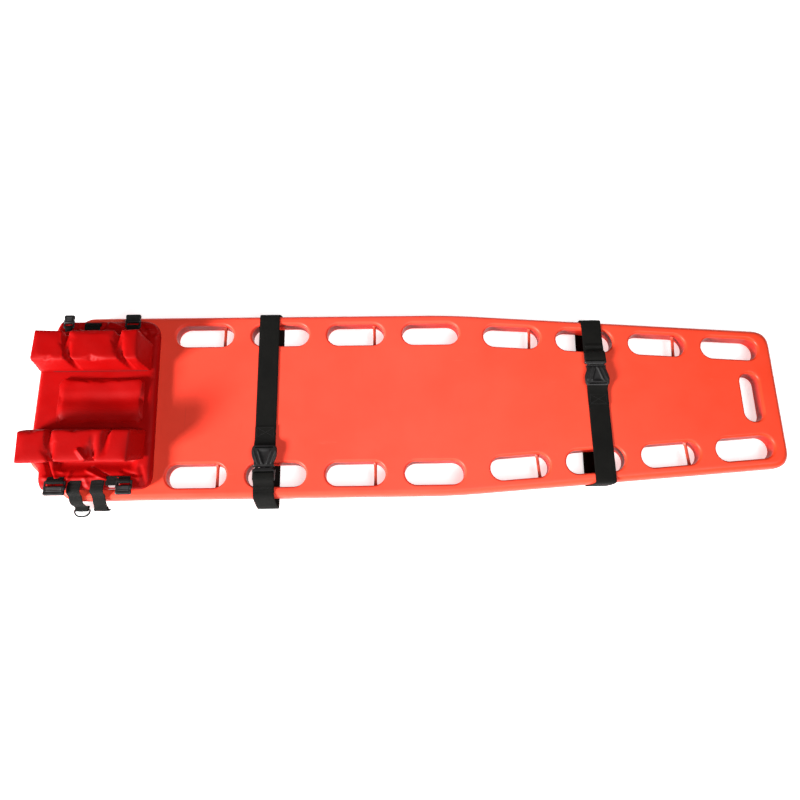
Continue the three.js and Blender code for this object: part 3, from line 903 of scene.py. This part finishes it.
# ---- head pads ----
def simulate_skin(piece, cap, pressure=4.0):
    """Puffs a foam pad's skin with cloth pressure and lets no point move further than the cap."""
    before = coordinates(piece)
    cloth = piece.modifiers.new("skin", "CLOTH")
    settings = cloth.settings
    settings.quality = 4
    settings.mass = 0.3
    settings.use_pressure = True
    settings.uniform_pressure_force = pressure
    settings.tension_stiffness = 12
    settings.compression_stiffness = 12
    settings.bending_stiffness = 2.5
    settings.effector_weights.gravity = 0
    cloth.collision_settings.use_collision = False
    for number in range(1, 21):
        scene.frame_set(number)
    after = coordinates(piece.evaluated_get(bpy.context.evaluated_depsgraph_get()))
    piece.modifiers.clear()
    scene.frame_set(1)
    moved = after - before
    length = np.linalg.norm(moved, axis=1, keepdims=True)
    moved *= np.minimum(1, cap / np.maximum(length, 1e-9))
    set_coordinates(piece, before + moved)


def finish_pad(piece, recipe, creases):
    """Even skin, cloth, flat underside, then creases; one subdivision makes the final surface."""
    remeshed(piece, recipe["voxel"], 1)
    simulate_skin(piece, recipe["cap"])
    points = coordinates(piece)
    points[:, 2] = np.maximum(points[:, 2], recipe["floor"] / 1000)
    set_coordinates(piece, creases(points))
    fine = piece.modifiers.new("fine surface", "SUBSURF")
    fine.levels = fine.render_levels = 1
    apply_modifiers(piece)


def valley(distance, width):
    return 1 - smooth_step(np.abs(distance), 0, width)


def furrow(points, start, end, width, side=1):
    """How strongly each point lies in a furrow along a line from start to end, given as (x, y)."""
    flat = np.stack(in_mm(points, side=side)[:2], axis=1)
    a, b = np.array(start, float), np.array(end, float)
    t = np.clip((flat - a) @ (b - a) / ((b - a) @ (b - a)), 0, 1)
    distance = np.linalg.norm(flat - a - t[:, None] * (b - a), axis=1)
    return 1 - smooth_step(distance, 0, width)


def block_mesh(side, head_end, grooves):
    """A leaning foam block: stations along X, a rounded four-sided section, strap grooves over the top."""
    low, high = BLOCK["z"]
    (inner_base, outer_base), (inner_top, outer_top) = BLOCK["base"], BLOCK["top"]
    section = rounded_loop([
        (inner_base, low, 7), (outer_base, low, 7), (outer_top, high, 6), (inner_top, high, 7),
    ], 7)
    stations = 100
    vertices = []
    for i in range(stations + 1):
        t = i / stations
        for point in section:
            lift = (point.y - low) / (high - low)
            end = BLOCK["foot_end"] - BLOCK["foot_slope"] * lift
            x = head_end + (end - head_end) * t
            across = (point.x - inner_top) / (outer_top - inner_top)
            sunk = 0.0
            for groove in grooves:
                slide = groove["inner_drift"] * (1 - lift) if point.x < inner_top + 4 else 0.0
                centre = groove["x"] + groove["top_drift"] * min(max(across, 0), 1) + slide
                reach = (abs(x - centre) - groove["half"] * 0.35) / (groove["half"] * 0.8)
                sunk = max(sunk, 0.5 + 0.5 * math.cos(math.pi * min(max(reach, 0), 1)))
            depth = 12 * sunk * min(max((lift - 0.12) / 0.3, 0), 1)
            middle = Vector(((inner_top + outer_top) / 2 - 9 * (1 - lift), (low + high) / 2 - 8))
            inward = (middle - point).normalized()
            placed = point + inward * depth
            vertices.append(mm(x, side * placed.x, placed.y))
    return vertices, tube_faces(stations + 1, len(section), flipped=True)


BLOCKS = (
    {"label": "far", "side": 1, "seed": 3.0, "head_end": 43, "welts": (
        ((118, 92), (110, 150), 6, 1.2),
    ), "grooves": (
        {"x": 130, "top_drift": -12, "inner_drift": 52, "half": 8},
        {"x": 254, "top_drift": -13, "inner_drift": 34, "half": 8},
    )},
    {"label": "near", "side": -1, "seed": 11.0, "head_end": 38, "welts": (
        ((180, 134), (206, 166), 8, 6),
    ), "grooves": (
        {"x": 108, "top_drift": 10, "inner_drift": 24, "half": 7},
        {"x": 241, "top_drift": -34, "inner_drift": 16, "half": 9},
    )},
)


def make_block(block):
    label, side, seed = block["label"], block["side"], block["seed"]
    shape = block_mesh(side, block["head_end"], block["grooves"])
    piece = new_piece(f"pad_block_{label}", *shape, "pad_skin", f"block_{label}",
                      replaces=[f"head_block_{label}"])

    def creases(points):
        along, out, height = in_mm(points, side=side)
        flank = smooth_step(out - (139 + (height - 79) * 0.32), -7, 0) * smooth_step(125 - height, 0, 14)
        fold = np.zeros(len(points))
        for k in range(5):
            line = along - (70 + 52 * k) + (height - 100) * (1.1 if k % 2 else -0.8)
            fold += valley(line, 7)
        points[:, 1] -= side * flank * fold * 1.1 / 1000
        welts = waves(points, 22, seed) * 0.9
        for start, end, width, rise in block["welts"]:
            welts += rise * furrow(points, start, end, width, side)
        points[:, 2] += smooth_step(height, 120, 130) * welts / 1000
        return points

    finish_pad(piece, PAD_RECIPES["block"], creases)


def pad_outline(inset):
    half_width = PAD["half_width"] - inset
    head = PAD["head"] + inset

    def half(side, foot, foot_round):
        return [
            (head, side * (136 - inset / 3), 6),
            (60 + inset, side * (164 - inset / 3), 8),
            (62 + inset, side * 190, 8),
            (72 + inset / 2, side * half_width, 8),
            (foot - inset, side * half_width, foot_round),
        ]

    near = half(-1, PAD["foot_near"], 35)
    return rounded_loop(near + half(1, PAD["foot_far"], 46)[::-1], 8)


def pad_slot(x_low, x_high, y_low, y_high):
    return lambda inset: rectangle_loop(
        x_low - inset, x_high + inset, y_low - inset / 3, y_high + inset / 3, 3.5
    )


# Folds in the base pad's margin: (start, end, width, height), a furrow where the height is negative.
NEAR_FOLDS = (
    ((82, 143), (102, 194), 6, -10),
    ((98, 162), (112, 190), 6, 1.5),
    ((186, 160), (240, 190), 6, -8),
    ((176, 165), (226, 190), 5, 5.5),
    ((108, 166), (124, 170), 4, 3.5),
    ((140, 172), (134, 206), 6, 3),
    ((176, 186), (186, 208), 6, 3),
    ((258, 168), (296, 182), 6, -3.5),
    ((300, 160), (312, 200), 9, -2.5),
)
FAR_FOLDS = (
    ((74, 182), (80, 214), 5, 5),
    ((88, 182), (94, 212), 7, -3.5),
    ((194, 204), (228, 187), 7, 5),
    ((176, 184), (188, 208), 8, -3.5),
    ((308, 164), (320, 176), 6, 3.5),
    ((270, 200), (290, 172), 6, -4),
    ((118, 200), (126, 176), 5, 3),
)


def make_base_pad():
    holes = [pad_slot(*slot) for slot in PAD_SLOTS]
    shape = plate(pad_outline, holes, *PAD["z"], (7, 9), (1.5, 3), 6)
    piece = new_piece("pad_base", *shape, "pad_skin", "board", replaces=["head_base_pad"])

    def creases(points):
        along, across, height = in_mm(points)
        out, near = np.abs(across), across < 0
        upper = smooth_step(height, 66, 73)
        lift = np.zeros(len(points))
        for folds, side in ((NEAR_FOLDS, -1), (FAR_FOLDS, 1)):
            for start, end, width, height in folds:
                lift += height * furrow(points, start, end, width, side) * (near == (side < 0))
        wave = waves(points, 16)
        seam = np.exp(-((out - np.where(near, SEAM[-1], SEAM[1]) + 5 + 2 * wave) / 4.5) ** 2)
        lift += 4.4 * seam * smooth_step(along, 70, 84) * smooth_step(312 - along, 0, 20)
        tuck = smooth_step(out, 136, 143) * (1 - smooth_step(out, 148, 176))
        lift -= 11 * tuck * smooth_step(along, 98, 108) * smooth_step(296 - along, 0, 22)
        lift += 0.8 * wave
        blocks_slide_here = 1 - smooth_step(out, 158, 166)
        lift -= np.maximum(lift, 0) * blocks_slide_here
        points[:, 2] += upper * lift / 1000
        return points

    finish_pad(piece, PAD_RECIPES["base"], creases)


def make_rest_pad():
    outline = rectangle(*REST_PAD["x"], *REST_PAD["y"], 20, steps=8)
    shape = plate(outline, [], *REST_PAD["z"], (17, 9), (0, 0), 7)
    piece = new_piece("pad_rest", *shape, "pad_skin", "board", replaces=["head_rest_pad"])

    def creases(points):
        along, across, height = in_mm(points)
        top = smooth_step(height, 78, 85)
        ends = smooth_step(along, 91, 104) * smooth_step(301 - along, 0, 12)
        channels = valley(across - 3, 22) * 3 + valley(across + 52, 30) * 6
        hollow = 6.5 * np.exp(-(((along - 205) / 66) ** 2 + (across / 44) ** 2))
        slump = 1.4 * waves(points, 26)
        points[:, 2] -= top * (channels * ends + hollow + slump) / 1000
        return points

    finish_pad(piece, PAD_RECIPES["rest"], creases)


# ---- rings, frames and short straps ----
def swept_loop(loop, radius, sides=12):
    """A round wire along a closed loop of points in the XY plane."""
    vertices, faces = [], []
    count = len(loop)
    for i, point in enumerate(loop):
        ahead = (loop[(i + 1) % count] - loop[i - 1]).normalized()
        out = Vector((ahead.y, -ahead.x))
        for k in range(sides):
            angle = 2 * math.pi * k / sides
            flat = point + out * radius * math.cos(angle)
            vertices.append((flat.x, flat.y, radius * math.sin(angle)))
    for i in range(count):
        for k in range(sides):
            j, m = (i + 1) % count, (k + 1) % sides
            faces.append((i * sides + k, i * sides + m, j * sides + m, j * sides + k))
    return vertices, faces


def spaced(loop, step):
    closed = [Vector((p.x, p.y, 0)) for p in loop] + [Vector((loop[0].x, loop[0].y, 0))]
    return [p.to_2d() for p in resampled(closed, step)[:-1]]


def make_ring(number, x, y, z, hang):
    """D-ring: a straight bar in the strap's eye and a bow, bent from one wire."""
    corners = [(-18.4, 0, 3), (18.4, 0, 3), (17.6, 11, 9), (7, 16, 6), (-7, 16, 6), (-17.6, 11, 9)]
    loop = spaced(rounded_loop(corners, 8), 1.5)
    wire, faces = swept_loop(loop, 1.9)
    turn = Matrix.Rotation(hang, 3, "X") @ Matrix.Rotation(math.pi, 3, "Z")
    vertices = [mm(x, y, z) + turn @ Vector(p) / 1000 for p in wire]
    new_piece(f"ring_{number}", vertices, faces, "ring_metal", f"ring_{number}",
              replaces=[f"board_ring_{number}"])


def make_head_buckle(buckle):
    """Strap socket: a bar for the sewn eye, then a box with a rounded back, thumb notches and a mouth."""
    name = f"{buckle['name']}_buckle_{buckle['label']}"
    side, x, width, hinge = (buckle[k] for k in ("side", "x", "width", "hinge"))
    half = width / 2

    arms = rectangle(x - half, x + half, *span(side, hinge - 2, hinge + 13), 2.5)
    eye = rectangle(x - half + 4, x + half - 4, *span(side, hinge + 2.2, hinge + 9.8), 2, grow=1)
    case_corners = [(half, 10, 3), (half, 17, 3), (half - 2.4, 21, 3), (half, 26, 3), (half - 1.5, 32, 3)]
    case = mirrored(case_corners, x, side, hinge, half, 21, 11)
    parts = [
        plate(arms, [eye], HINGE_Z - 2, HINGE_Z + 2, (1.3, 1.5), (0.7, 1), 4),
        plate(case, [], HINGE_Z - 4.4, HINGE_Z + 5.4, (3, 3.2), (0, 0), 5),
    ]
    case_name = f"socket_{buckle['name']}_{buckle['label']}"
    piece = new_piece(case_name, *joined(parts), "buckle_plastic", name, replaces=[name])
    mouth = span(side, hinge + 15, hinge + 40)
    remeshed(piece, 0.0007, 1)
    carve(piece, [solid_box(x - half + 4, x + half - 4, *mouth, HINGE_Z - 2.7, HINGE_Z + 2.7)])
    points = coordinates(piece)
    across, along, height = in_mm(points, x, side, hinge)
    top = smooth_step(height - HINGE_Z, 3, 5)
    rib = np.zeros(len(points))
    for line in (16.5, 20, 23.5):
        rib += 1 - smooth_step(np.abs(along - line), 0.5, 1.3)
    points[:, 2] -= top * rib * smooth_step(half - 6 - np.abs(across), 0, 2) * 0.8 / 1000
    set_coordinates(piece, points)


def make_tab(buckle):
    """Webbing folded round the socket's bar and sewn under the pad's seam."""
    ending = f"{buckle['name']}_{buckle['label']}"
    side, x, hinge = buckle["side"], buckle["x"], buckle["hinge"]
    seam = SEAM[side]
    eye_width = buckle["width"] - 10
    eye = [
        (seam - 9, 76.8), (hinge - 5, 76.8), (hinge, 76.4), (hinge + 4.2, 77.6), (hinge + 4.4, 82),
        (hinge, 84.2), (hinge - 4, 82.6), (hinge - 7, 79.4), (seam - 8, 78.6),
    ]
    node = f"{buckle['name']}_tab_{buckle['label']}"
    make_belt(f"tab_{ending}", x, side, eye, eye_width, "board", [node], seed=x / 10)
    low, high = buckle["tab"]
    if high - low > eye_width + 6:
        strip = [(seam - 9, 76.6), (seam, 76.7), (seam + 8, 76.6), (seam + 12.5, 76.5)]
        width = 31
        make_belt(f"band_{ending}", low + width / 2, side, strip, width, "board", seed=x)
        rows = across_rows(low + 3, low + width - 3, [side * y for y in (193.5, 196, 200)], STITCH_Z["band"])
        stitch_rows(f"band_stitches_{ending}", rows, "board", 2.2, 0.36)


OVER_EDGE = [
    (SEAM[-1] - 7, 76.8), (204, 77), (211, 77.4), (217.5, 75), (220.6, 67), (223.6, 57.5), (233.5, 48.5),
]
TIE_DROPS = (
    [(239.5, 34), (240.2, 18), (241.5, 10.5), (245, 9), (249, 8.6), (250.9, 5.4), (248.6, 1.7),
     (244, 1.5), (237, 1.8)],
    [(241.5, 38), (246.6, 33), (251.5, 30), (253.9, 26), (251, 22), (246.4, 23.4), (243.6, 30)],
)
TIES = (
    {"number": 1, "x": 148, "lean": 0.12, "drop": TIE_DROPS[0], "bar": (-247, 5.2), "hang": 0},
    {"number": 2, "x": 202, "lean": 0.08, "drop": TIE_DROPS[1], "bar": (-250, 26), "hang": math.pi / 2},
)


def make_board_straps():
    """Ties between head pad and board: two near ends with rings, and one sewn into a slot of the pad."""
    for tie in TIES:
        number, x, lean = tie["number"], tie["x"], tie["lean"]
        make_belt(f"tie_{number}", x, -1, OVER_EDGE + tie["drop"], 31, "board", [f"board_strap_{number}"],
                  seed=20 + number, lean=lean)
        top = x + lean * 56
        rows = across_rows(top - 12, top + 12, (-193.5, -196, -203), STITCH_Z["tie"])
        stitch_rows(f"tie_stitches_{number}", rows, "board")
        make_ring(number, x, *tie["bar"], tie["hang"])
    tucked = [(SEAM[1] - 5, 76.8), (192, 76.9), (199, 76.9), (203, 75), (203.2, 68), (203, 55)]
    make_belt("tie_1_far", 153, 1, tucked, 38, "board", ["board_strap_1_far"], seed=31)
    rows = across_rows(138, 168, (188, 191, 196), STITCH_Z["far tie"])
    stitch_rows("tie_stitches_far", rows, "board")


def finish_cad_nodes():
    """Pieces whose CAD shape is already right only get their material."""
    kept = {"fill_plug": "board_plastic", "foam_core": "foam"}
    for label in ("far", "near"):
        kept[f"loop_strip_{label}"] = "hook_loop"
        kept[f"hook_patch_{label}"] = "hook_loop"
    for name, material in kept.items():
        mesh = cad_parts[name].data
        mesh.materials.clear()
        mesh.materials.append(MATERIALS[material])


make_board()
make_pins()
for strap in BODY_STRAPS:
    make_body_strap(strap)
make_base_pad()
make_rest_pad()
for block in BLOCKS:
    make_block(block)
for buckle in HEAD_BUCKLES:
    make_head_buckle(buckle)
    make_tab(buckle)
make_board_straps()
finish_cad_nodes()
